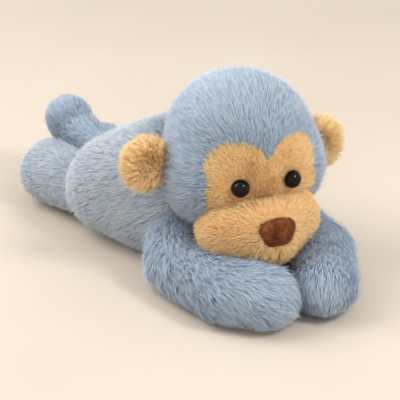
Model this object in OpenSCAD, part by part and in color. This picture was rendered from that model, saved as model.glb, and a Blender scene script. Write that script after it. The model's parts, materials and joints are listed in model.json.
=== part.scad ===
// Stuffed monkey lying on its belly, chin on its folded arms.
// Millimetres. +Z is up, the monkey looks towards -Y and its left side is +X.
// The origin is on the floor under the middle of the belly. The covers are drawn
// without their pile, which stands a few millimetres proud of them.

/* [Covers] */
// Thickness of the knitted backing and its seam allowance
wall = 2; // [1.5:0.5:3]
// Gap between a cover and the stuffing inside it
ease = 0.4; // [0.2:0.1:1]

/* [Head] */
// Radius of the crown
crown_r = 54.5; // [50:0.5:56]
// Radius of each cheek
cheek_r = 43; // [38:1:43]
// Distance from the head's middle to each cheek's middle
cheek_out = 20; // [14:1:20]
// Height of the head's middle above the floor
head_z = 112; // [111:1:118]
// Sideways shift of the head's middle
head_x = 12; // [8:1:14]
// Place of the head's middle along the body, in front of the belly's middle
head_y = -80; // [-84:1:-78]
// Turn of the head towards the right arm, in degrees
head_yaw = -21; // [-25:1:-15]
// Radius of each end of the muzzle
muzzle_r = 23; // [21:0.5:23]
// Half distance between the muzzle's two ends
muzzle_out = 27; // [20:1:28]
// Width of the nose
nose_w = 31; // [26:1:34]

/* [Eyes] */
// Radius of an eye's dome
eye_r = 7.6; // [6:0.1:8.5]
// Distance from the face's middle line to each eye
eye_out = 22.8; // [20:0.2:25]
// How far each eye looks outwards, in degrees
eye_splay = 20; // [12:1:26]

/* [Ears] */
// Half height of an ear
ear_h = 23; // [20:1:25]
// Half width of an ear
ear_w = 19; // [16:1:20]
// Half thickness of an ear
ear_t = 6; // [5:0.5:7]

/* [Torso] */
// Radius of the chest, behind the neck
chest_r = 44; // [40:1:45]
// Radius of the belly
belly_r = 54; // [50:1:55]
// Radius of the hump of the back
back_r = 50; // [45:1:50]
// Radius of each side of the rump
rump_r = 40; // [36:1:41]

/* [Limbs and tail] */
// Radius of an arm
arm_r = 23.5; // [22:0.5:24]
// Height of an arm's middle above the floor, less than its radius so that it lies flat
arm_z = 19.5; // [19:0.5:21]
// Radius of a leg
leg_r = 28; // [25:0.5:28]
// Height of a leg's middle above the floor
leg_z = 28; // [26:0.5:28]
// Radius of the tail at its root
tail_r = 14; // [12:0.5:14.5]

/* [Joints] */
// How far the head lifts, in degrees
nod_max = 25; // [10:1:25]
// How far the head turns to its right, in degrees
turn_min = -7; // [-9:1:0]
// How far the head turns to its left, in degrees
turn_max = 8; // [0:1:9]

/* [Hidden] */

RIGHT = -1;
LEFT = 1;
fine = 24;      // facets of an outer ball
coarse = 16;    // facets of a ball inside a cover
ear_facets = 14;
smooth = 48;    // facets of small round pieces
far = 500;      // larger than the whole toy
blue = "#8fa9c4";
tan = "#d9a866";
brown = "#6b3320";
white = "#f1efe8";

// Middles of the limbs' balls, from the shoulder to the hand and from the hip to the foot
arm_right_path = [[-51, -67], [-54, -97], [-51, -128], [-36, -154]];
arm_left_path = [[53, -67], [60, -101], [52, -138], [14, -174]];
leg_path = [[29.5, 108.5], [29.7, 131]];
foot_grow = 1;
// Middles and radii of the tail's balls, from the rump to the tip
tail_path = [[0, 94.5, 57], [0, 122, 62], [0, 143, 74]];
tail_radii = [tail_r, tail_r, tail_r + 4];

chest_at = [0, -26, 44];
belly_at = [0, 8, 41];
back_at = [0, -2, 62];
rump_at = [20, 41, 40];
panel_seam_z = 34;      // height of the seam between the back and belly panels

crown_at = [0, 5, 5];
occiput_at = [0, 13, 2];
occiput_r = crown_r - 1.7;
cheek_at = [cheek_out, -1, -12];
muzzle_at = [muzzle_out, -33, -47.5];
muzzle_tip_at = [0, -50, -46];
muzzle_tip_r = muzzle_r + 0.5;
nod_axis = [0, 46, -24];        // middle of the neck seam's rear edge, in the head's frame
turn_axis = [0, 20, 0];         // the neck's upright axis, in the head's frame
eye_at = [eye_out, -47, -9];
nose_at = [0, -70, -42];
ear_at = [63.5 + ear_w, 8, -5];
nose_r = 6;
eye_back = 1.2;         // from the dome's middle back to its flat rear
shank_r = 2.4;
shank_l = 14;
washer_r = 8;
washer_t = 1.8;
washer_at = 8;          // from the dome's middle back to the washer
neck_r = 22;
neck_t = 3;
neck_tilt = 27;         // lean of the neck's own axis away from upright, in degrees
neck_l = 90;            // length of the cone that cuts the sleeve out of the head's outline
swing_gap = 1.1;        // room left round the head and neck while they move
seam_gap = 0.1;         // gap between two pieces of one body that are sewn face to face
shank_gap = 0.2;        // room round an eye's shank where it passes the face
washer_gap = 0.05;      // room round an eye's shank inside its washer
// Lobes of the face's heart-shaped window: sideways place, height and radius
face_lobes = [[20, 4, 24], [19, -16, 25]];
face_depth = 80;        // how far forward the face's window reaches
nose_tip_out = 1;       // how far the nose's lower corner stands in front of its upper ones
nose_top = 6;           // height of the nose's upper corners above its middle
nose_bottom = 8;        // drop of the nose's lower corner below its middle

// ---------------------------------------------------------------- helpers

// A closed row of balls, each joined to the next, shrunk by inset
module chain(points, radii, inset, facets) {
    for (i = [0 : len(points) - 2])
        hull() {
            translate(points[i]) sphere(r = radii[i] - inset, $fn = facets);
            translate(points[i + 1]) sphere(r = radii[i + 1] - inset, $fn = facets);
        }
}

// Keeps what is above height z
module above(z) {
    intersection() {
        children();
        translate([-far / 2, -far / 2, z]) cube(far);
    }
}

// Puts the head's own frame, whose origin is the head's middle, where the head rests
module place_head() { translate([head_x, head_y, head_z]) rotate([0, 0, head_yaw]) children(); }

// The head's frame after the neck has turned and nodded
module swing_head(turn, nod) {
    place_head()
        translate(turn_axis) rotate([0, 0, turn]) translate(-turn_axis)
            translate(nod_axis) rotate([-nod, 0, 0]) translate(-nod_axis)
                children();
}

// ---------------------------------------------------------------- solid forms

module head_form(inset, facets) {
    hull() {
        translate(crown_at) sphere(r = crown_r - inset, $fn = facets);
        translate(occiput_at) sphere(r = occiput_r - inset, $fn = facets);
        for (side = [RIGHT, LEFT])
            translate([side * cheek_at[0], cheek_at[1], cheek_at[2]])
                sphere(r = cheek_r - inset, $fn = facets);
    }
}

module muzzle_form(inset, facets) {
    hull() {
        for (side = [RIGHT, LEFT])
            translate([side * muzzle_at[0], muzzle_at[1], muzzle_at[2]])
                sphere(r = muzzle_r - inset, $fn = facets);
        translate(muzzle_tip_at) sphere(r = muzzle_tip_r - inset, $fn = facets);
    }
}

module torso_form(inset, facets) {
    above(inset)
        hull() {
            translate(chest_at) sphere(r = chest_r - inset, $fn = facets);
            translate(belly_at) sphere(r = belly_r - inset, $fn = facets);
            translate(back_at) sphere(r = back_r - inset, $fn = facets);
            for (side = [RIGHT, LEFT])
                translate([side * rump_at[0], rump_at[1], rump_at[2]])
                    sphere(r = rump_r - inset, $fn = facets);
        }
}

module arm_form(path, inset, facets) {
    above(inset)
        chain([for (p = path) [p[0], p[1], arm_z]], [for (p = path) arm_r], inset, facets);
}

module leg_form(side, inset, facets) {
    above(inset)
        chain([for (p = leg_path) [side * p[0], p[1], leg_z]], [leg_r, leg_r + foot_grow], inset, facets);
}

module tail_form(inset, facets) { chain(tail_path, tail_radii, inset, facets); }

// The torso with a hollow for the head and its neck sleeve, over the neck's whole travel
module torso_solid(inset, facets) {
    difference() {
        torso_form(inset, facets);
        for (turn = [turn_min, turn_max], nod = [0, nod_max])
            swing_head(turn, nod) head_form(-neck_t - ease - swing_gap - inset, facets);
    }
}

// Outline of the face's heart-shaped window, seen from the front
module face_outline() {
    for (side = [RIGHT, LEFT], lobe = face_lobes)
        translate([side * lobe[0], lobe[1]]) circle(r = lobe[2], $fn = smooth);
}

module face_window() { rotate([90, 0, 0]) linear_extrude(height = face_depth) face_outline(); }

module at_eye(side) {
    translate([side * eye_at[0], eye_at[1], eye_at[2]]) rotate([0, 0, side * eye_splay]) children();
}

// A hollow fabric cover: the first child is its outside and the second its inside
module cover() {
    difference() {
        children(0);
        children(1);
    }
}

// ---------------------------------------------------------------- torso and neck

module torso_cover() {
    cover() {
        torso_solid(0, fine);
        torso_solid(wall, coarse);
    }
}

module torso_back_panel() {
    color(blue) above(panel_seam_z) torso_cover();
}

module torso_belly_panel() {
    color(blue) intersection() {
        torso_cover();
        translate([-far / 2, -far / 2, 0]) cube([far, far, panel_seam_z]);
    }
}

module torso_stuffing() {
    color(white) torso_solid(wall + ease, coarse);
}

// The short sleeve between the head and the torso's hollow
module neck_sleeve() {
    color(blue) place_head() intersection() {
        cover() {
            head_form(-neck_t - ease, fine);
            head_form(-ease, fine);
        }
        rotate([180 + neck_tilt, 0, 0]) cylinder(r = neck_r, h = neck_l);
    }
}

// ---------------------------------------------------------------- head

module head_shell() {
    cover() {
        head_form(0, fine);
        head_form(wall, coarse);
    }
}

module head_cover() {
    color(blue) place_head() difference() {
        head_shell();
        face_window();
    }
}

module face_panel() {
    color(tan) place_head() difference() {
        intersection() {
            head_shell();
            face_window();
        }
        for (side = [RIGHT, LEFT])
            at_eye(side) rotate([-90, 0, 0]) cylinder(r = shank_r + shank_gap, h = shank_l, $fn = smooth);
    }
}

module muzzle_cover() {
    color(tan) place_head() difference() {
        muzzle_form(0, fine);
        muzzle_form(wall, coarse);
        head_form(-seam_gap, fine);
    }
}

module head_stuffing() {
    color(white) place_head() difference() {
        head_form(wall + ease, coarse);
        for (side = [RIGHT, LEFT])
            at_eye(side) rotate([-90, 0, 0]) cylinder(r = washer_r + ease, h = shank_l + ease, $fn = smooth);
    }
}

module muzzle_stuffing() {
    color(white) place_head() difference() {
        muzzle_form(wall + ease, coarse);
        head_form(-ease, fine);
    }
}

module nose() {
    color(brown) place_head() difference() {
        hull() {
            for (side = [RIGHT, LEFT])
                translate([side * (nose_w / 2 - nose_r), nose_at[1], nose_at[2] + nose_top])
                    sphere(r = nose_r, $fn = coarse);
            translate([0, nose_at[1] - nose_tip_out, nose_at[2] - nose_bottom])
                sphere(r = nose_r, $fn = coarse);
        }
        muzzle_form(-seam_gap, fine);
    }
}

// Dome and shank of a plastic safety eye, in one piece, looking along -Y
module eye(side) {
    color("black") place_head() at_eye(side) rotate([90, 0, 0]) union() {
        intersection() {
            sphere(r = eye_r, $fn = smooth);
            translate([-eye_r, -eye_r, -eye_back]) cube([2 * eye_r, 2 * eye_r, 2 * eye_r]);
        }
        translate([0, 0, -shank_l]) cylinder(r = shank_r, h = shank_l, $fn = smooth);
    }
}

// Locking washer on an eye's shank, inside the face
module eye_washer(side) {
    color(white) place_head() at_eye(side) rotate([-90, 0, 0])
        translate([0, 0, washer_at]) difference() {
            cylinder(r = washer_r, h = washer_t, $fn = smooth);
            translate([0, 0, -washer_t]) cylinder(r = shank_r + washer_gap, h = 3 * washer_t, $fn = smooth);
        }
}

module eye_right() { eye(RIGHT); }
module eye_left() { eye(LEFT); }
module eye_washer_right() { eye_washer(RIGHT); }
module eye_washer_left() { eye_washer(LEFT); }

// ---------------------------------------------------------------- ears

// An ear's padded disc
module ear_form(side) {
    hull()
        for (a = [0 : 30 : 330])
            translate([
                side * (ear_at[0] + (ear_w - ear_t) * cos(a)),
                ear_at[1],
                ear_at[2] + (ear_h - ear_t) * sin(a)
            ]) sphere(r = ear_t, $fn = ear_facets);
}

// The front or back half of an ear, sewn to the other half round its rim
module ear_half(side, back) {
    color(tan) place_head() intersection() {
        ear_form(side);
        translate([-far / 2, ear_at[1] + (back ? 0 : -far), -far / 2]) cube(far);
    }
}

module ear_front_right() { ear_half(RIGHT, false); }
module ear_back_right() { ear_half(RIGHT, true); }
module ear_front_left() { ear_half(LEFT, false); }
module ear_back_left() { ear_half(LEFT, true); }

// ---------------------------------------------------------------- arms, legs and tail

module arm_cover(path) {
    color(blue) cover() {
        arm_form(path, 0, fine);
        arm_form(path, wall, coarse);
    }
}

module leg_cover(side) {
    color(blue) cover() {
        leg_form(side, 0, fine);
        leg_form(side, wall, coarse);
    }
}

module arm_cover_right() { arm_cover(arm_right_path); }
module arm_cover_left() { arm_cover(arm_left_path); }
module arm_stuffing_right() { color(white) arm_form(arm_right_path, wall + ease, coarse); }
module arm_stuffing_left() { color(white) arm_form(arm_left_path, wall + ease, coarse); }
module leg_cover_right() { leg_cover(RIGHT); }
module leg_cover_left() { leg_cover(LEFT); }
module leg_stuffing_right() { color(white) leg_form(RIGHT, wall + ease, coarse); }
module leg_stuffing_left() { color(white) leg_form(LEFT, wall + ease, coarse); }

module tail_cover() {
    color(blue) cover() {
        tail_form(0, fine);
        tail_form(wall, coarse);
    }
}

module tail_stuffing() { color(white) tail_form(wall + ease, coarse); }

torso_back_panel();
torso_belly_panel();
torso_stuffing();
neck_sleeve();
head_cover();
face_panel();
muzzle_cover();
nose();
eye_right();
eye_left();
eye_washer_right();
eye_washer_left();
head_stuffing();
muzzle_stuffing();
ear_front_right();
ear_back_right();
ear_front_left();
ear_back_left();
arm_cover_right();
arm_stuffing_right();
arm_cover_left();
arm_stuffing_left();
leg_cover_right();
leg_stuffing_right();
leg_cover_left();
leg_stuffing_left();
tail_cover();
tail_stuffing();
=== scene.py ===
import json
import math

import bmesh
import bpy
import numpy as np
from mathutils import Matrix, Vector
from mathutils.bvhtree import BVHTree
from mathutils.kdtree import KDTree


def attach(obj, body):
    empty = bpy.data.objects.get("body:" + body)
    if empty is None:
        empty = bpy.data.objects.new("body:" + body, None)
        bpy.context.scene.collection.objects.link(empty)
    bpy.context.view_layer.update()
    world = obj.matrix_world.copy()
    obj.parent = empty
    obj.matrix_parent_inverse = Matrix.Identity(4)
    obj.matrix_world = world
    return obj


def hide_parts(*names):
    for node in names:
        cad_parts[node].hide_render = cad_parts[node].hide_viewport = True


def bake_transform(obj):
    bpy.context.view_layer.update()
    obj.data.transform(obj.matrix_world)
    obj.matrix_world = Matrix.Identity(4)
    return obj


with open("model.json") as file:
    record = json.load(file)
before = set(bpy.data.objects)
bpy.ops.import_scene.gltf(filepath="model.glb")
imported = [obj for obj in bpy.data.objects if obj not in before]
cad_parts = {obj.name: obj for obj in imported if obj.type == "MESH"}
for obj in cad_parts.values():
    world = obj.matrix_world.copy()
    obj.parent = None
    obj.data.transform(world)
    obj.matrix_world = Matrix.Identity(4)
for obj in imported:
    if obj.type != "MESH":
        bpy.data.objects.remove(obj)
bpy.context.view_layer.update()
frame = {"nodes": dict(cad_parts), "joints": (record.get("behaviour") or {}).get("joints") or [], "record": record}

# ---------------------------------------------------------------- sizes and places

MM = 0.001
RIGHT, LEFT = -1, 1
SIDES = {"right": RIGHT, "left": LEFT}
UP = np.array([0.0, 0.0, 1.0])
UV_LAYER = "OFBake"     # the map that the pile's colours are read from

FLOOR_GAP = 0.6 * MM    # the lowest point of any cloth or pile above the floor
CLOTH = 1.2 * MM        # thickness of the plush's knitted backing

# The head's own frame: its middle, its left side, its back and up.
joints = {j["name"]: j for j in frame["joints"]}
NOD_IN_HEAD = np.array([0, 46, -24]) * MM
HEAD_SIDE = -np.array(joints["neck_nod"]["axis"])
HEAD_BACK = np.cross(UP, HEAD_SIDE)
HEAD_AXES = np.array([HEAD_SIDE, HEAD_BACK, UP])
HEAD_AT = np.array(joints["neck_nod"]["pos_m"]) - NOD_IN_HEAD @ HEAD_AXES

# Balls in millimetres, each a middle and a radius, in the head's frame
CROWN = [((0, 5, 5), 55), ((0, 14, 3), 54), ((20, -1, -12), 43.5), ((-20, -1, -12), 43.5)]
MUZZLE = [((27.5, -32, -52), 23), ((-27.5, -32, -52), 23),
          ((27, -33, -48.5), 22.3), ((-27, -33, -48.5), 22.3),
          ((0, -49.5, -47.5), 24), ((0, -49.5, -53), 25)]
NOSE_CORNERS = [((8, -69, -38.5), 8), ((-8, -69, -38.5), 8), ((0, -70, -37.5), 8),
                ((5, -69.5, -45), 8.6), ((-5, -69.5, -45), 8.6)]
EYE = np.array([22.8, -47, -9])
EYE_R = 7.6
NOSE = np.array([0, -78, -41])
NOSE_REACH = 11                         # how far from there the nose pad keeps pile away
BRIDGE = np.array([0, -50, -26])        # the point that the face's pile is brushed away from
EARS = {"right": np.array([-81.5, 8, -1.5]), "left": np.array([75, 8, -10])}
EAR_HALF = np.array([16, 5.5, 19])      # half width, thickness and height of an ear's cloth

# The face's heart-shaped outline, seen from the front: each lobe's place and radius
FACE_LOBES = [((22, 2.5), 23.8), ((20, -16), 26)]

# Balls of the body and limbs in millimetres, in the part's frame. A limb's run from root to tip,
# and they are large enough to hold the CAD stuffing.
TORSO = [((0, -26, 44), 44), ((0, 8, 41), 54), ((0, -2, 63), 50),
         ((20, 45, 46), 40.5), ((-20, 45, 46), 40.5), ((20.5, 46, 43.5), 42), ((-20.5, 46, 43.5), 42)]
PANEL_SEAM = 34         # height of the seam between the torso's two panels
ARM_RIGHT = [((-36, -50, 33), 22), ((-51, -67, 24.5), 23.6), ((-50.5, -67, 21), 23.6),
             ((-53, -97, 21.3), 23.7), ((-51, -128, 21.5), 24.5), ((-36, -154, 21.5), 24.5)]
ARM_LEFT = [((36, -50, 35), 22), ((56, -74, 33), 24), ((53, -67, 21.5), 24.5),
            ((60, -101, 22.5), 24.5), ((52, -138, 22), 24.5), ((14, -174, 21.5), 24.5)]
LEG_RIGHT = [((-28, 84, 31), 24), ((-29.5, 108.5, 29.5), 28), ((-29.7, 131, 29), 29)]
LEG_LEFT = [((28, 84, 28), 23.5), ((29.5, 108.5, 27.5), 27.8), ((29.7, 131, 27), 28.8)]
TAIL = [((0, 80, 52), 12), ((0, 94.5, 55.5), 13.5), ((0, 121, 63), 15.6), ((0, 138, 61), 17),
        ((0, 143.2, 72.3), 19)]

# How far the neck's two joints go, in degrees
TURNS, NODS = joints["neck_turn"]["range_deg"], joints["neck_nod"]["range_deg"]
HEAD_ROOM = 2.4 * MM    # room between the head's cloth and the hollow that holds it


def to_head(points):
    """Points of the part's frame, in the head's frame and in millimetres."""
    return (points - HEAD_AT) @ HEAD_AXES.T / MM


def from_head(points):
    """Points of the head's frame in millimetres, in the part's frame and in metres."""
    return HEAD_AT + np.asarray(points, float) * MM @ HEAD_AXES


def unit(v):
    """Vectors in rows, made 1 long."""
    return v / np.maximum(np.linalg.norm(v, axis=-1, keepdims=True), 1e-9)


def smooth_step(x, low, high):
    """0 up to low, 1 from high on, and smooth between them."""
    t = np.clip((x - low) / (high - low), 0, 1)
    return t * t * (3 - 2 * t)


# ---------------------------------------------------------------- materials

WHITE = (1, 1, 1, 1)
THROUGH = 0.5           # share of light that a strand of pile lets through


def srgb(code, alpha=1.0):
    """A colour written as RRGGBB, as the linear colour that shaders take."""
    parts = [int(code[i:i + 2], 16) / 255 for i in (0, 2, 4)]
    linear = [c / 12.92 if c <= 0.04045 else ((c + 0.055) / 1.055) ** 2.4 for c in parts]
    return (*linear, alpha)


class Nodes:
    """A material's node tree, with short calls for the nodes used here."""

    def __init__(self, name):
        self.material = bpy.data.materials.new(name)
        self.material.use_nodes = True
        self.tree = self.material.node_tree
        self.shader = self.tree.nodes["Principled BSDF"]

    def add(self, kind, **settings):
        node = self.tree.nodes.new("ShaderNode" + kind)
        for key, value in settings.items():
            setattr(node, key, value)
        return node

    def link(self, source, target):
        self.tree.links.new(source, target)

    def noise(self, vector, scale, detail=3.0, roughness=0.6):
        node = self.add("TexNoise")
        node.inputs["Scale"].default_value = scale
        node.inputs["Detail"].default_value = detail
        node.inputs["Roughness"].default_value = roughness
        self.link(vector, node.inputs["Vector"])
        return node.outputs["Fac"]

    def ramp(self, value, stops):
        node = self.add("ValToRGB")
        elements = node.color_ramp.elements
        while len(elements) < len(stops):
            elements.new(0.5)
        for element, (place, colour) in zip(elements, stops):
            element.position = place
            element.color = colour
        self.link(value, node.inputs["Fac"])
        return node.outputs["Color"]

    def mix(self, factor, a, b, blend="MIX"):
        node = self.add("Mix", data_type="RGBA", blend_type=blend)
        for key, value in (("Factor", factor), ("A", a), ("B", b)):
            socket = node.inputs[key]
            if isinstance(value, bpy.types.NodeSocket):
                self.link(value, socket)
            else:
                socket.default_value = value
        return node.outputs["Result"]

    def bump(self, height, strength, distance):
        node = self.add("Bump")
        node.inputs["Strength"].default_value = strength
        node.inputs["Distance"].default_value = distance
        self.link(height, node.inputs["Height"])
        self.link(node.outputs["Normal"], self.shader.inputs["Normal"])

    def set(self, **values):
        for key, value in values.items():
            self.shader.inputs[key.replace("_", " ")].default_value = value


def fur_material(name, root, middle, tip, cool, warm):
    """Pile, coloured by its own map: across it the tone of a tuft, up it the way from root to tip, darker at the
    root as painted shade deep in the pile.
    """
    m = Nodes(name)
    uv = m.add("UVMap", uv_map=UV_LAYER).outputs["UV"]
    parts = m.add("SeparateXYZ")
    m.link(uv, parts.inputs["Vector"])
    # Darker at the root than at the tip: painted shade deep in the pile between the tufts
    along = m.ramp(parts.outputs["Y"], [(0.0, srgb(root)), (0.45, srgb(middle)), (1.0, srgb(tip))])
    tone = m.ramp(parts.outputs["X"], [(0.0, srgb(cool)), (0.5, WHITE), (1.0, srgb(warm))])
    streak = m.ramp(m.noise(uv, 60, 2.0), [(0.3, (0.86, 0.87, 0.88, 1)), (0.7, WHITE)])
    toned = m.mix(1.0, along, tone, "MULTIPLY")
    colour = m.mix(1.0, toned, streak, "MULTIPLY")
    m.link(colour, m.shader.inputs["Base Color"])
    m.set(Roughness=0.7, Sheen_Weight=0.2, Sheen_Roughness=0.5, Specular_IOR_Level=0.25)
    through = m.add("BsdfTranslucent")
    m.link(colour, through.inputs["Color"])
    both = m.add("MixShader")
    both.inputs["Fac"].default_value = THROUGH
    m.link(m.shader.outputs["BSDF"], both.inputs[1])
    m.link(through.outputs["BSDF"], both.inputs[2])
    m.link(both.outputs["Shader"], m.tree.nodes["Material Output"].inputs["Surface"])
    return m.material


def backing_material(name, dark, light):
    """The knitted cloth under the pile, coloured darker than the pile as painted shade deep in it."""
    m = Nodes(name)
    place = m.add("TexCoord").outputs["Object"]
    cloudy = m.noise(place, 90)
    m.link(m.ramp(cloudy, [(0.3, srgb(dark)), (0.7, srgb(light))]), m.shader.inputs["Base Color"])
    m.bump(m.noise(place, 1800, 1.0), 0.5, 0.3 * MM)
    m.set(Roughness=0.95, Sheen_Weight=0.2, Specular_IOR_Level=0.2)
    return m.material


def suede_material(name, dark, middle, light):
    """Brushed cloth: soft patches under a fine nap."""
    m = Nodes(name)
    place = m.add("TexCoord").outputs["Object"]
    patches = m.noise(place, 130, 4.0)
    nap = m.noise(place, 1400, 2.0)
    base = m.ramp(patches, [(0.3, srgb(dark)), (0.5, srgb(middle)), (0.72, srgb(light))])
    speck = m.ramp(nap, [(0.35, (0.72, 0.7, 0.68, 1)), (0.65, WHITE)])
    m.link(m.mix(1.0, base, speck, "MULTIPLY"), m.shader.inputs["Base Color"])
    m.bump(nap, 0.6, 0.35 * MM)
    m.set(Roughness=0.9, Sheen_Weight=0.12, Sheen_Roughness=0.4, Specular_IOR_Level=0.1)
    return m.material


def eye_material(name):
    """Polished black plastic with a trace of haze."""
    m = Nodes(name)
    place = m.add("TexCoord").outputs["Object"]
    haze = m.noise(place, 260, 2.0)
    m.link(m.ramp(haze, [(0.3, srgb("040404")), (0.7, srgb("0b0908"))]), m.shader.inputs["Base Color"])
    m.link(m.ramp(haze, [(0.3, (0.02, 0.02, 0.02, 1)), (0.75, (0.05, 0.05, 0.05, 1))]),
           m.shader.inputs["Roughness"])
    m.set(IOR=1.45, Specular_IOR_Level=0.18)
    return m.material


def plastic_material(name, dark, light):
    """Moulded plastic, slightly cloudy and uneven."""
    m = Nodes(name)
    place = m.add("TexCoord").outputs["Object"]
    cloudy = m.noise(place, 300)
    m.link(m.ramp(cloudy, [(0.3, srgb(dark)), (0.7, srgb(light))]), m.shader.inputs["Base Color"])
    m.bump(m.noise(place, 1500, 2.0), 0.2, 0.1 * MM)
    m.set(Roughness=0.55)
    return m.material


def stuffing_material(name):
    """Loose white fibre."""
    m = Nodes(name)
    place = m.add("TexCoord").outputs["Object"]
    fibres = m.noise(place, 420, 6.0, 0.75)
    m.link(m.ramp(fibres, [(0.3, srgb("d9d7cf")), (0.7, srgb("f7f6f1"))]), m.shader.inputs["Base Color"])
    m.bump(fibres, 0.8, 1.0 * MM)
    m.set(Roughness=0.95, Sheen_Weight=0.3)
    return m.material


def floor_material(name):
    """A pale floor with faint clouds."""
    m = Nodes(name)
    place = m.add("TexCoord").outputs["Object"]
    cloudy = m.noise(place, 3.0, 2.0)
    m.link(m.ramp(cloudy, [(0.3, srgb("b2a99e")), (0.7, srgb("b7aea4"))]), m.shader.inputs["Base Color"])
    m.set(Roughness=0.9, Specular_IOR_Level=0.1)
    return m.material


BLUE_FUR = fur_material("blue_fur", "9bb2c8", "bbccdd", "e0e8f0", "e8eff6", "fffbf6")
# A lighter, greyer copy of the blue pile for the torso and legs: painted light, for the greyer look that bounce
# light gives them
PAINTED_LIGHT_BLUE_FUR = fur_material("body_fur", "9aacbf", "c2ced9", "e9edf1", "e8eff6", "fffbf6")
# A lighter copy of the tan pile for the face and ears: painted light that lifts the shade under the crown and in
# their own deep pile
PAINTED_LIGHT_TAN_FUR = fur_material("face_fur", "ecc688", "f8dfa9", "fdeecb", "f3e9dc", "fffbf3")
TAN_FUR = fur_material("tan_fur", "e2b878", "f4d49b", "fbe8c0", "f3e9dc", "fffbf3")
# The backing cloths are darker than their pile: painted shade that shows between the strands as depth
BLUE_CLOTH = backing_material("blue_backing", "8099b2", "97aec4")
TAN_CLOTH = backing_material("tan_backing", "d6aa70", "e4bf88")
SUEDE = suede_material("brown_suede", "46230f", "633519", "7c4727")
EYE_BLACK = eye_material("polished_black")
WASHER_PLASTIC = plastic_material("moulded_white", "d9d7d0", "e9e7e0")
STUFFING = stuffing_material("polyester_fibre")


# ---------------------------------------------------------------- cloth forms

def link(obj):
    """Puts an object in the scene."""
    bpy.context.scene.collection.objects.link(obj)
    return obj


def add_hull(bm, balls):
    """Adds the convex hull of some balls, given in metres, to bm."""
    part = bmesh.new()
    for centre, radius in balls:
        bmesh.ops.create_icosphere(part, subdivisions=4, radius=radius, matrix=Matrix.Translation(centre))
    points = [v.co.copy() for v in part.verts]
    part.free()
    verts = [bm.verts.new(p) for p in points]
    bmesh.ops.convex_hull(bm, input=verts)


def get_points(mesh, field="co"):
    """A mesh's points in rows, or their normals with "normal" as the field."""
    points = np.empty(len(mesh.vertices) * 3)
    mesh.vertices.foreach_get(field, points)
    return points.reshape(-1, 3)


def set_points(mesh, points):
    """Moves a mesh's points."""
    mesh.vertices.foreach_set("co", np.asarray(points, np.float32).ravel())
    mesh.update()


def apply_modifiers(obj):
    """Makes what the modifiers give the object's own mesh."""
    graph = bpy.context.evaluated_depsgraph_get()
    mesh = bpy.data.meshes.new_from_object(obj.evaluated_get(graph), depsgraph=graph)
    obj.modifiers.clear()
    obj.data = mesh
    mesh.name = obj.name
    return obj


def relax(obj, rounds):
    """Evens out a mesh."""
    smooth = obj.modifiers.new("relax", "SMOOTH")
    smooth.factor = 0.5
    smooth.iterations = rounds
    return apply_modifiers(obj)


def form(name, hulls, sculpt=None, voxel=2.4, rounds=8):
    """A closed cloth form: hulls of balls in metres, joined, evened out, and then shaped by sculpt.

    voxel is the mesh's grain in millimetres, and rounds is how often it is evened out."""
    bm = bmesh.new()
    for balls in hulls:
        add_hull(bm, balls)
    mesh = bpy.data.meshes.new(name)
    bm.to_mesh(mesh)
    bm.free()
    obj = link(bpy.data.objects.new(name, mesh))
    remesh = obj.modifiers.new("remesh", "REMESH")
    remesh.mode = "VOXEL"
    remesh.voxel_size = voxel * MM
    apply_modifiers(obj)
    relax(obj, rounds)
    if sculpt is not None:
        set_points(obj.data, sculpt(get_points(obj.data)))
        relax(obj, 3)
    points = get_points(obj.data)
    points[:, 2] = np.maximum(points[:, 2], FLOOR_GAP)
    set_points(obj.data, points)
    return obj


def in_metres(balls):
    """Balls of the part's frame, from millimetres to metres."""
    return [(Vector(centre) * MM, radius * MM) for centre, radius in balls]


def in_head(balls):
    """Balls of the head's frame in millimetres, in the part's frame and in metres."""
    return [(Vector(from_head(centre)), radius * MM) for centre, radius in balls]


def pairs(balls):
    """A row of balls as hulls, each ball with the next."""
    return [list(pair) for pair in zip(balls, balls[1:])]


def waves(points, size, seed, count=7):
    """A smooth field of small vectors about 1 long, whose bumps are about size metres across."""
    rng = np.random.default_rng(seed)
    total = np.zeros_like(points)
    for _ in range(count):
        direction = unit(rng.normal(size=3)) * 2 * math.pi / size * rng.uniform(0.6, 1.3)
        height = np.sin(points @ direction + rng.uniform(0, 2 * math.pi))
        total += np.outer(height, unit(rng.normal(size=3)))
    return total / math.sqrt(count / 2)


def rumple(points, depth, size, seed):
    """Gives a stuffed form the small lumps of its filling."""
    return points + waves(points, size, seed) * depth


def piece(obj, body, material, replaced=()):
    """Finishes a piece: gives it its material and smooth shading, rides it on its body unless body is None, and
    hides the CAD nodes that it replaces.
    """
    obj.data.materials.clear()
    obj.data.materials.append(material)
    obj.data.polygons.foreach_set("use_smooth", np.ones(len(obj.data.polygons), bool))
    if body is not None:
        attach(obj, body)
    if replaced:
        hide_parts(*replaced)


def split(obj, inside, name_in, name_out):
    """Cuts a form into two panels by a test on its faces' middles."""
    parts = []
    for name, wanted in ((name_in, True), (name_out, False)):
        mesh = obj.data.copy()
        part = link(bpy.data.objects.new(name, mesh))
        mesh.name = name
        bm = bmesh.new()
        bm.from_mesh(mesh)
        middles = np.array([f.calc_center_median() for f in bm.faces])
        unwanted = [f for f, chosen in zip(bm.faces, inside(middles)) if bool(chosen) != wanted]
        bmesh.ops.delete(bm, geom=unwanted, context="FACES")
        bm.to_mesh(mesh)
        bm.free()
        parts.append(part)
    bpy.data.objects.remove(obj)
    return parts


def thicken(obj):
    """Gives a panel the thickness of its cloth, inwards."""
    solid = obj.modifiers.new("cloth", "SOLIDIFY")
    solid.thickness = CLOTH
    solid.offset = -1
    return apply_modifiers(obj)


# ---------------------------------------------------------------- pile

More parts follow.
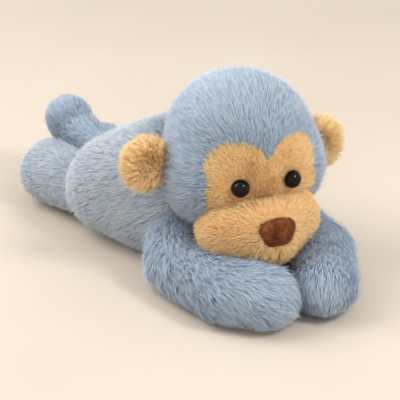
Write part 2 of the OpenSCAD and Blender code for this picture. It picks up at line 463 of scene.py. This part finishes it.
TONES = 24              # columns of the pile's map
ROOT_V, MID_V, TIP_V = 0.03, 0.5, 0.97      # heights of a ribbon's points on that map
RIBBON_POINTS = 5
RIBBON_LOOPS = np.array([0, 1, 2, 3, 3, 2, 4])      # a quad up to the middle and a triangle to the tip

# Least and most of what varies from strand to strand: length, width and the pull of its tuft
LENGTHS, WIDTHS, PULLS = (0.82, 1.08), (0.8, 1.2), (0.5, 1.15)
ROLL = 35               # degrees that a strand may turn about its own length
WILD_SHARE = 0.08       # share of the strands that stand out of the pile
WILD_LONGER = 1.28      # how much longer those are
WILD_LIFT = 22          # and how many degrees more upright
DROOP = 0.12            # how much the strands' tips sink
# Sizes of the patches in which the brushing, the lean and the tone change
FLOW_SIZE, TILT_SIZE, TONE_SIZE = 26 * MM, 14 * MM, 40 * MM
# How much the tone differs from tuft to tuft, strand to strand and patch to patch
TUFT_TONE, STRAND_TONE, PATCH_TONE = 0.13, 0.1, 0.1
SEARCH = 30 * MM        # how far from a form's surface its inside is looked for


def sample(obj, density, rng):
    """Random roots on a form's surface, with the surface's own normals there."""
    mesh = obj.data
    mesh.calc_loop_triangles()
    corners = np.empty(len(mesh.loop_triangles) * 3, np.int32)
    mesh.loop_triangles.foreach_get("vertices", corners)
    corners = corners.reshape(-1, 3)
    points, normals = get_points(mesh), get_points(mesh, "normal")
    a, b, c = (points[corners[:, i]] for i in range(3))
    area = np.linalg.norm(np.cross(b - a, c - a), axis=1) / 2
    count = int(area.sum() / MM ** 2 * density)
    pick = rng.choice(len(area), count, p=area / area.sum())
    u, v = rng.random((2, count))
    fold = u + v > 1
    u[fold], v[fold] = 1 - u[fold], 1 - v[fold]
    share = np.stack([1 - u - v, u, v], axis=1)[:, :, None]
    return (points[corners[pick]] * share).sum(1), unit((normals[corners[pick]] * share).sum(1))


def nearest(centres, points):
    """The index of the centre that is nearest to each point."""
    tree = KDTree(len(centres))
    for i, p in enumerate(centres):
        tree.insert(p, i)
    tree.balance()
    return np.array([tree.find(p)[1] for p in points])


def along_surface(flow, normal):
    """The part of flow that lies in the surface, 1 long."""
    return unit(flow - normal * (flow * normal).sum(1, keepdims=True))


def grow(name, obj, density, length, comb, seed, lean=(24, 60), width=0.44, tuft=8, pull=0.4,
         keep=None, stray=0.1, wave=0.16):
    """Pile on a form: curved tapering ribbons, leaned along comb and gathered into tufts.

    density is ribbons per square millimetre and width a ribbon's width in millimetres. comb, length
    and keep are rules that take roots and normals, and give a direction, a length in millimetres and
    the chance that a ribbon grows. lean is the angle from upright at root and tip, tuft the ribbons
    in one tuft, pull how closely a tuft gathers, and stray and wave how far single ribbons and whole
    patches turn from the comb's direction."""
    rng = np.random.default_rng(seed)
    root, normal = sample(obj, density, rng)
    if keep is not None:
        chosen = rng.random(len(root)) < keep(root, normal)
        root, normal = root[chosen], normal[chosen]
    count = len(root)
    flow = along_surface(comb(root, normal), normal)
    flow = flow + waves(root, FLOW_SIZE, seed + 1) * wave + rng.normal(size=(count, 3)) * stray
    flow = along_surface(flow, normal)
    # Pile that is close to the floor and faces it is down to half as long
    near_floor = smooth_step(-normal[:, 2], 0.1, 0.8) * smooth_step(-root[:, 2] / MM, -26, -10)
    long = length(root, normal) * MM * rng.uniform(*LENGTHS, count) * (1 - 0.5 * near_floor)
    long = long[:, None]
    tilt = np.radians(np.array(lean))[:, None] + rng.normal(size=(2, count)) * math.radians(4)
    patches = smooth_step(waves(root, TILT_SIZE, seed + 2)[:, 0], -1, 1)
    tilt = tilt + patches * math.radians(14) - math.radians(7)
    wild = rng.random(count) < WILD_SHARE
    long[wild] *= WILD_LONGER
    tilt[:, wild] -= math.radians(WILD_LIFT)
    near = normal * np.cos(tilt[0])[:, None] + flow * np.sin(tilt[0])[:, None]
    away = normal * np.cos(tilt[1])[:, None] + flow * np.sin(tilt[1])[:, None] - UP * DROOP
    mid = root + near * long * 0.5
    tip = mid + unit(away) * long * 0.5

    # A tuft closes in on its leader, the tips most
    leaders = rng.choice(count, max(1, count // tuft), replace=False)
    mine = leaders[nearest(root[leaders], root)]
    offset = root - root[mine]
    share = (pull * rng.uniform(*PULLS, count))[:, None]
    mid = mid + (mid[mine] + offset * 0.7 - mid) * share * 0.45
    tip = tip + (tip[mine] + offset * 0.25 - tip) * share
    for row in (root, mid, tip):
        row[:, 2] = np.maximum(row[:, 2], FLOOR_GAP)

    across = unit(np.cross(flow, normal))
    along = unit(tip - root)
    roll = np.radians(rng.uniform(-ROLL, ROLL, count))[:, None]
    side = across * np.cos(roll) + np.cross(along, across) * np.sin(roll)
    half = side * (width * MM / 2 * rng.uniform(*WIDTHS, count))[:, None]
    points = np.stack([root - half, root + half, mid + half * 0.8, mid - half * 0.8, tip], axis=1)
    # Shading lies between the cloth's own and the ribbon's, so that the pile looks soft
    facing = unit(normal * 0.6 + unit(np.cross(side, along)) * 0.5 + rng.normal(size=(count, 3)) * 0.12)
    tone_of_tuft = rng.normal(size=count)[mine] * TUFT_TONE
    tone_of_patch = waves(root, TONE_SIZE, seed + 3)[:, 0] * PATCH_TONE
    tone = 0.5 + tone_of_tuft + rng.normal(size=count) * STRAND_TONE + tone_of_patch
    column = np.clip((tone * TONES).astype(int), 0, TONES - 1)
    return ribbons(name, points, facing, column)


def ribbons(name, points, facing, column):
    """One mesh of ribbons, each a quad and a triangle.

    A ribbon's points are its root's two, its middle's two and its tip, facing is its shading normal,
    and column its column in the pile's map."""
    count = len(points)
    mesh = bpy.data.meshes.new(name)
    mesh.vertices.add(count * RIBBON_POINTS)
    mesh.vertices.foreach_set("co", points.astype(np.float32).ravel())
    loops = (np.arange(count)[:, None] * RIBBON_POINTS + RIBBON_LOOPS).ravel()
    mesh.loops.add(len(loops))
    mesh.loops.foreach_set("vertex_index", loops.astype(np.int32))
    mesh.polygons.add(count * 2)
    starts = (np.arange(count)[:, None] * len(RIBBON_LOOPS) + np.array([0, 4])).ravel()
    mesh.polygons.foreach_set("loop_start", starts.astype(np.int32))
    mesh.update(calc_edges=True)
    left, right = (column + 0.1) / TONES, (column + 0.9) / TONES
    u = np.stack([left, right, right, left, left, right, (left + right) / 2], axis=1)
    heights = np.array([ROOT_V, ROOT_V, MID_V, MID_V, TIP_V])[RIBBON_LOOPS]
    v = np.broadcast_to(heights, u.shape)
    layer = mesh.uv_layers.new(name=UV_LAYER)
    layer.data.foreach_set("uv", np.stack([u, v], axis=2).astype(np.float32).ravel())
    mesh.normals_split_custom_set_from_vertices(np.repeat(facing, RIBBON_POINTS, axis=0))
    return link(bpy.data.objects.new(name, mesh))


def tree_of(obj):
    """A form's surface, as a tree to search."""
    mesh = obj.data
    return BVHTree.FromPolygons([v.co for v in mesh.vertices], [p.vertices for p in mesh.polygons])


def outside(tree, margin):
    """A keep rule: no roots deeper than margin millimetres inside another form."""
    def rule(root, normal):
        free = np.ones(len(root))
        for i, p in enumerate(root):
            found, facing, _, _ = tree.find_nearest(p, SEARCH)
            if found is not None and (Vector(p) - found).dot(facing) < -margin * MM:
                free[i] = 0
        return free
    return rule


def constant(value):
    """A length rule: the same everywhere."""
    return lambda root, normal: np.full(len(root), float(value))


# ---------------------------------------------------------------- the head

def squeeze_face(points):
    """Flattens the face, sinks a shallow socket round each eye and lets the cheeks hang a little."""
    p = to_head(points)
    beside = smooth_step(np.abs(p[:, 0]), 7, 17) * smooth_step(-p[:, 1], 38, 52)
    p[:, 1] += beside * np.maximum(-p[:, 1] - 43.5, 0) * 0.75
    bridge = np.exp(-(p[:, 0] / 9) ** 2 - ((p[:, 2] + 14) / 14) ** 2)
    p[:, 1] -= 2.5 * bridge * (p[:, 1] < 0)
    for side in SIDES.values():
        away = np.linalg.norm(p - EYE * [side, 1, 1], axis=1)
        p[:, 1] += 1.4 * smooth_step(-away, -13, -5) * (p[:, 1] < 0)
    low = smooth_step(-p[:, 2], 5, 45)
    p[:, 0] *= 1 + 0.05 * low * smooth_step(p[:, 1], -60, -20)
    return from_head(p)


def face_margin(p):
    """How far inside the heart's outline points lie, in the head's frame and in millimetres."""
    return np.max([radius - np.hypot(np.abs(p[:, 0]) - x, p[:, 2] - z)
                   for (x, z), radius in FACE_LOBES], axis=0)


def in_face(points):
    """Whether points lie in the heart-shaped face panel."""
    p = to_head(points)
    return (face_margin(p) > 0) & (p[:, 1] < -8)


def comb_from(centre, extra=(0, 0, 0)):
    """Brushes away from a point of the head, in millimetres, with a lean of extra in the head's frame."""
    def rule(root, normal):
        return unit(root - from_head(centre)) + np.asarray(extra, float) @ HEAD_AXES
    return rule


def eye_clearance(root):
    """Distance in millimetres from the nearer eye's middle."""
    p = to_head(root)
    return np.min([np.linalg.norm((p - EYE * [side, 1, 1]) * [1, 0.6, 1], axis=1)
                   for side in SIDES.values()], axis=0)


head_form = form("head_form", [in_head(CROWN)], squeeze_face)
muzzle_form = form("muzzle_form", [in_head(MUZZLE)])
clear_of_muzzle, clear_of_head = outside(tree_of(muzzle_form), 1.0), outside(tree_of(head_form), 1.0)


def face_keep(root, normal):
    """No pile under the eyes or inside the muzzle."""
    return clear_of_muzzle(root, normal) * (eye_clearance(root) > EYE_R + 0.4)


def face_length(root, normal):
    """Shorter pile beside the eyes."""
    near_eye = smooth_step(eye_clearance(root), EYE_R, EYE_R + 8)
    return 4.0 + 2.2 * near_eye


def crown_length(root, normal):
    """Shorter pile beside the face, so that the heart's outline stays sharp."""
    p = to_head(root)
    off_face = smooth_step(-face_margin(p), 0, 10) * (p[:, 1] < 0) + (p[:, 1] >= 0)
    return 6.8 + 4.2 * off_face


face_skin, crown_skin = split(head_form, in_face, "face_panel_cloth", "head_cover_cloth")
crown_fur = grow("head_cover_pile", crown_skin, 1.8, crown_length, comb_from(BRIDGE, (0, 0, -0.1)),
                 11, keep=clear_of_muzzle, width=0.36)
face_fur = grow("face_panel_pile", face_skin, 2.0, face_length, comb_from(BRIDGE), 12, keep=face_keep,
                lean=(40, 70), width=0.42)
piece(thicken(crown_skin), "head", BLUE_CLOTH, ["head_cover"])
piece(thicken(face_skin), "head", TAN_CLOTH, ["face_panel"])
piece(crown_fur, "head", BLUE_FUR)
# The face's pile takes the lighter copy of the tan pile: painted light
piece(face_fur, "head", PAINTED_LIGHT_TAN_FUR)


def muzzle_keep(root, normal):
    """No pile under the nose pad or inside the head."""
    p = to_head(root)
    off_nose = np.linalg.norm((p - NOSE) * [0.9, 0.5, 1.0], axis=1) > NOSE_REACH
    return clear_of_head(root, normal) * off_nose


def muzzle_comb(root, normal):
    """Brushes away from the nose, and to both sides of the seam below it."""
    p = to_head(root)
    flow = unit(p - NOSE) + np.array([0, 0.3, 0])
    parting = np.exp(-np.abs(p[:, 0]) / 3) * (p[:, 2] < NOSE[2])
    flow[:, 0] += np.sign(p[:, 0]) * parting * 1.2
    return flow @ HEAD_AXES


muzzle_fur = grow("muzzle_cover_pile", muzzle_form, 1.9, constant(6.8), muzzle_comb, 13,
                  keep=muzzle_keep, lean=(26, 64), width=0.45, wave=0.2)
muzzle_form.name = "muzzle_cover_cloth"
piece(muzzle_form, "head", TAN_CLOTH, ["muzzle_cover"])
piece(muzzle_fur, "head", TAN_FUR)

nose_pad = form("nose_pad", [in_head(NOSE_CORNERS)], voxel=1.0, rounds=6)
piece(nose_pad, "head", SUEDE, ["nose"])


# ---------------------------------------------------------------- the ears

def make_ear(side_name, seed):
    """One ear: a dished pad in two cloths, each with its own pile brushed away from the head."""
    side = SIDES[side_name]
    centre = EARS[side_name]
    body = "ear_" + side_name

    def dish(points):
        p = to_head(points) - centre
        reach = np.hypot((p[:, 0] + side * 4) / EAR_HALF[0], p[:, 2] / EAR_HALF[2])
        p[:, 1] += (p[:, 1] < 0) * 3.6 * (1 - smooth_step(reach, 0.15, 0.95))
        return from_head(p + centre)

    rim, thick = EAR_HALF - EAR_HALF[1], EAR_HALF[1]
    ring = [((centre[0] + rim[0] * math.cos(a), centre[1], centre[2] + rim[2] * math.sin(a)), thick)
            for a in (math.radians(30 * k) for k in range(12))]
    ear = form(body + "_form", [in_head(ring)], dish, voxel=1.2, rounds=5)
    crease = centre + np.array([-side * 13, 0, -5])

    def comb(root, normal):
        return unit(root - from_head(crease)) + np.array([0, 0.1, 0]) @ HEAD_AXES

    def length(root, normal):
        p = to_head(root) - centre
        reach = np.hypot(p[:, 0] / EAR_HALF[0], p[:, 2] / EAR_HALF[2])
        return 6.5 + 5 * smooth_step(reach, 0.2, 0.9)

    nodes = ["ear_front_" + side_name, "ear_back_" + side_name]
    panels = split(ear, lambda m: to_head(m)[:, 1] < centre[1], nodes[0] + "_cloth", nodes[1] + "_cloth")
    for panel, node, lean in zip(panels, nodes, ((35, 66), (30, 60))):
        fur = grow(node + "_pile", panel, 2.6, length, comb, seed, lean=lean, width=0.4, tuft=12,
                   pull=0.6, stray=0.3, keep=clear_of_head)
        piece(thicken(panel), body, TAN_CLOTH, [node])
        # The ears' pile takes the lighter copy of the tan pile too: painted light against their own shade
        piece(fur, body, PAINTED_LIGHT_TAN_FUR)
        seed += 5


make_ear("right", 31)
make_ear("left", 41)


# ---------------------------------------------------------------- the torso and neck

def turned(points, joint, degrees):
    """Points after a joint has turned."""
    pivot = np.array(joints[joint]["pos_m"])
    spin = np.array(Matrix.Rotation(math.radians(degrees), 3, Vector(joints[joint]["axis"])))
    return pivot + (points - pivot) @ spin.T


# The head's balls wherever the neck takes them, each grown by the room that it needs
HEAD_SWEEP = [(turned(turned(from_head(centre), "neck_nod", nod), "neck_turn", turn),
               radius * MM + HEAD_ROOM)
              for centre, radius in CROWN for turn in TURNS for nod in NODS]


def make_room(points):
    """Presses the hollow that the head rests in."""
    points = rumple(points, 1.0 * MM, 60 * MM, 5)
    for centre, radius in HEAD_SWEEP * 2:      # twice, because one ball may push a point into another
        away = points - centre
        distance = np.linalg.norm(away, axis=1, keepdims=True)
        points = np.where(distance < radius, centre + away / distance * radius, points)
    return points


def hollow(root):
    """How deep in the head's hollow each root lies, from 0 to 1."""
    off_head = np.min([np.linalg.norm(root - centre, axis=1) - radius
                       for centre, radius in HEAD_SWEEP], axis=0)
    return 1 - smooth_step(off_head, 0.5 * MM, 4 * MM)


def backwards(root, normal):
    """Brushes back along the torso, and down."""
    return np.array([0, 1, -0.55]) + np.zeros_like(root)


torso_form = form("torso_form", [in_metres(TORSO)], make_room, voxel=3.0, rounds=8)
clear_of_torso = outside(tree_of(torso_form), 2.0)
back_skin, belly_skin = split(torso_form, lambda m: m[:, 2] > PANEL_SEAM * MM,
                              "torso_back_panel_cloth", "torso_belly_panel_cloth")


def torso_length(root, normal):
    """Shorter pile in the head's hollow."""
    return 9.0 - 1.5 * hollow(root)


def underside(root, normal):
    """Less pile where the toy lies on it."""
    return 1 - 0.75 * smooth_step(-normal[:, 2], 0.75, 0.95) * (root[:, 2] < 4 * MM)


for skin, name, seed in ((back_skin, "torso_back_panel", 51), (belly_skin, "torso_belly_panel", 52)):
    fur = grow(name + "_pile", skin, 1.25, torso_length, backwards, seed, keep=underside, width=0.55)
    piece(thicken(skin), "torso", BLUE_CLOTH, [name])
    # The torso's pile takes the lighter, greyer copy of the blue pile: painted light
    piece(fur, "torso", PAINTED_LIGHT_BLUE_FUR)

# The neck sleeve runs from inside the head towards the middle of the chest
CHEST = np.array(TORSO[0][0]) * MM
NECK_WAY = unit(CHEST - HEAD_AT)
neck_top, neck_bottom = HEAD_AT + NECK_WAY * 42 * MM, HEAD_AT + NECK_WAY * 84 * MM
NECK_R = 23 * MM


def neck_tube():
    """The sleeve between the torso and the head, an open tube with its ends inside them."""
    bm = bmesh.new()
    rings, sides = 22, 56
    across = unit(np.cross(NECK_WAY, HEAD_SIDE))
    other = np.cross(NECK_WAY, across)
    grid = []
    for i in range(rings):
        centre = neck_bottom + (neck_top - neck_bottom) * i / (rings - 1)
        grid.append([bm.verts.new(centre + NECK_R * (math.cos(a) * across + math.sin(a) * other))
                     for a in (2 * math.pi * k / sides for k in range(sides))])
    for low, high in zip(grid, grid[1:]):
        for k in range(sides):
            bm.faces.new((low[k], low[(k + 1) % sides], high[(k + 1) % sides], high[k]))
    bmesh.ops.recalc_face_normals(bm, faces=bm.faces)
    mesh = bpy.data.meshes.new("neck_sleeve_cloth")
    bm.to_mesh(mesh)
    bm.free()
    return link(bpy.data.objects.new("neck_sleeve_cloth", mesh))


def down_the_neck(root, normal):
    """Brushes from the head to the chest."""
    return NECK_WAY + np.zeros_like(root)


neck_skin = neck_tube()
neck_fur = grow("neck_sleeve_pile", neck_skin, 1.3, constant(5.0), down_the_neck, 55, lean=(35, 70))
for obj, material in ((thicken(neck_skin), BLUE_CLOTH), (neck_fur, BLUE_FUR)):
    piece(obj, None, material, ["neck_sleeve"] if obj is not neck_fur else ())
    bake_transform(obj)


# ---------------------------------------------------------------- arms, legs and tail

def path_comb(balls, fall):
    """Brushes along a limb's own path towards its end, with a little fall."""
    points = np.array([centre for centre, _ in balls]) * MM
    ways = unit(np.diff(points, axis=0))
    middles = (points[1:] + points[:-1]) / 2

    def rule(root, normal):
        reach = np.stack([np.linalg.norm(root - m, axis=1) for m in middles], 1)
        weight = np.exp(-(reach / (16 * MM)) ** 2) + 1e-6
        flow = (weight / weight.sum(1, keepdims=True)) @ ways
        return unit(flow) - UP * fall
    return rule


def limb_keep(root, normal):
    """No pile inside the torso, and less under the toy."""
    return clear_of_torso(root, normal) * underside(root, normal)


def make_limb(node, body, balls, length, seed, fall=0.35, lean=(44, 76), fur_colour=BLUE_FUR):
    """An arm, a leg or the tail: a closed form in place of the CAD node, with its pile."""
    limb = form(node + "_cloth", pairs(in_metres(balls)), lambda p: rumple(p, 0.7 * MM, 45 * MM, seed),
                rounds=14)
    fur = grow(node + "_pile", limb, 1.7, constant(length), path_comb(balls, fall), seed,
               keep=limb_keep, width=0.42, lean=lean)
    piece(limb, body, BLUE_CLOTH, [node])
    piece(fur, body, fur_colour)


make_limb("arm_cover_right", "arm_right", ARM_RIGHT, 10.5, 61)
make_limb("arm_cover_left", "arm_left", ARM_LEFT, 10.0, 62)
# The legs' pile takes the lighter, greyer copy of the blue pile: painted light
make_limb("leg_cover_right", "leg_right", LEG_RIGHT, 8.5, 63, fur_colour=PAINTED_LIGHT_BLUE_FUR)
make_limb("leg_cover_left", "leg_left", LEG_LEFT, 7.0, 64, fur_colour=PAINTED_LIGHT_BLUE_FUR)
make_limb("tail_cover", "tail", TAIL, 7.5, 65, fall=-0.1, lean=(24, 60))


# ---------------------------------------------------------------- carried-over CAD pieces

CARRIED = {"eye_black": EYE_BLACK, "washer_plastic": WASHER_PLASTIC, "stuffing": STUFFING}
slot_of = {part["node"]: part["material_slot"] for part in frame["record"]["subparts"]}
for node_name, node in frame["nodes"].items():
    material = CARRIED.get(slot_of[node_name])
    if material is not None:
        node.data.materials.clear()
        node.data.materials.append(material)

# ---------------------------------------------------------------- floor, light and camera

bpy.ops.mesh.primitive_plane_add(size=6, location=(0, 0, 0))
floor = bpy.context.object
floor.name = "floor"
floor.data.materials.append(floor_material("pale_floor"))

TARGET = Vector((-0.0274, -0.0700, 0.0754))     # the point in the middle of the picture
AZIMUTH, ELEVATION, DISTANCE = math.radians(-43), math.radians(28), 1.0
LENS = 108.4

camera = link(bpy.data.objects.new("camera", bpy.data.cameras.new("camera")))
away = Vector((math.sin(AZIMUTH) * math.cos(ELEVATION), -math.cos(AZIMUTH) * math.cos(ELEVATION),
               math.sin(ELEVATION)))
camera.location = TARGET + away * DISTANCE
camera.rotation_euler = away.to_track_quat("Z", "Y").to_euler()
camera.data.lens = LENS
bpy.context.scene.camera = camera


LAMP_WHITE = (1.0, 0.98, 0.96)
LIT_POINT = Vector((0, -0.05, 0.05))            # the point that the lamps face


def area_light(name, place, size, watts):
    """A round lamp of a size in metres."""
    lamp = bpy.data.lights.new(name, "AREA")
    lamp.shape = "DISK"
    lamp.size = size
    lamp.energy = watts
    lamp.color = LAMP_WHITE
    obj = link(bpy.data.objects.new(name, lamp))
    obj.location = place
    obj.rotation_euler = (Vector(place) - LIT_POINT).to_track_quat("Z", "Y").to_euler()


area_light("front", (0.22, -0.95, 1.05), 0.34, 11)
area_light("left", (-0.75, 0.7, 1.15), 1.1, 20)

world = bpy.data.worlds.new("studio")
bpy.context.scene.world = world
world.use_nodes = True
background = world.node_tree.nodes["Background"]
background.inputs["Color"].default_value = (1.0, 0.95, 0.89, 1)
background.inputs["Strength"].default_value = 1.2
bpy.context.scene.view_settings.view_transform = "Standard"
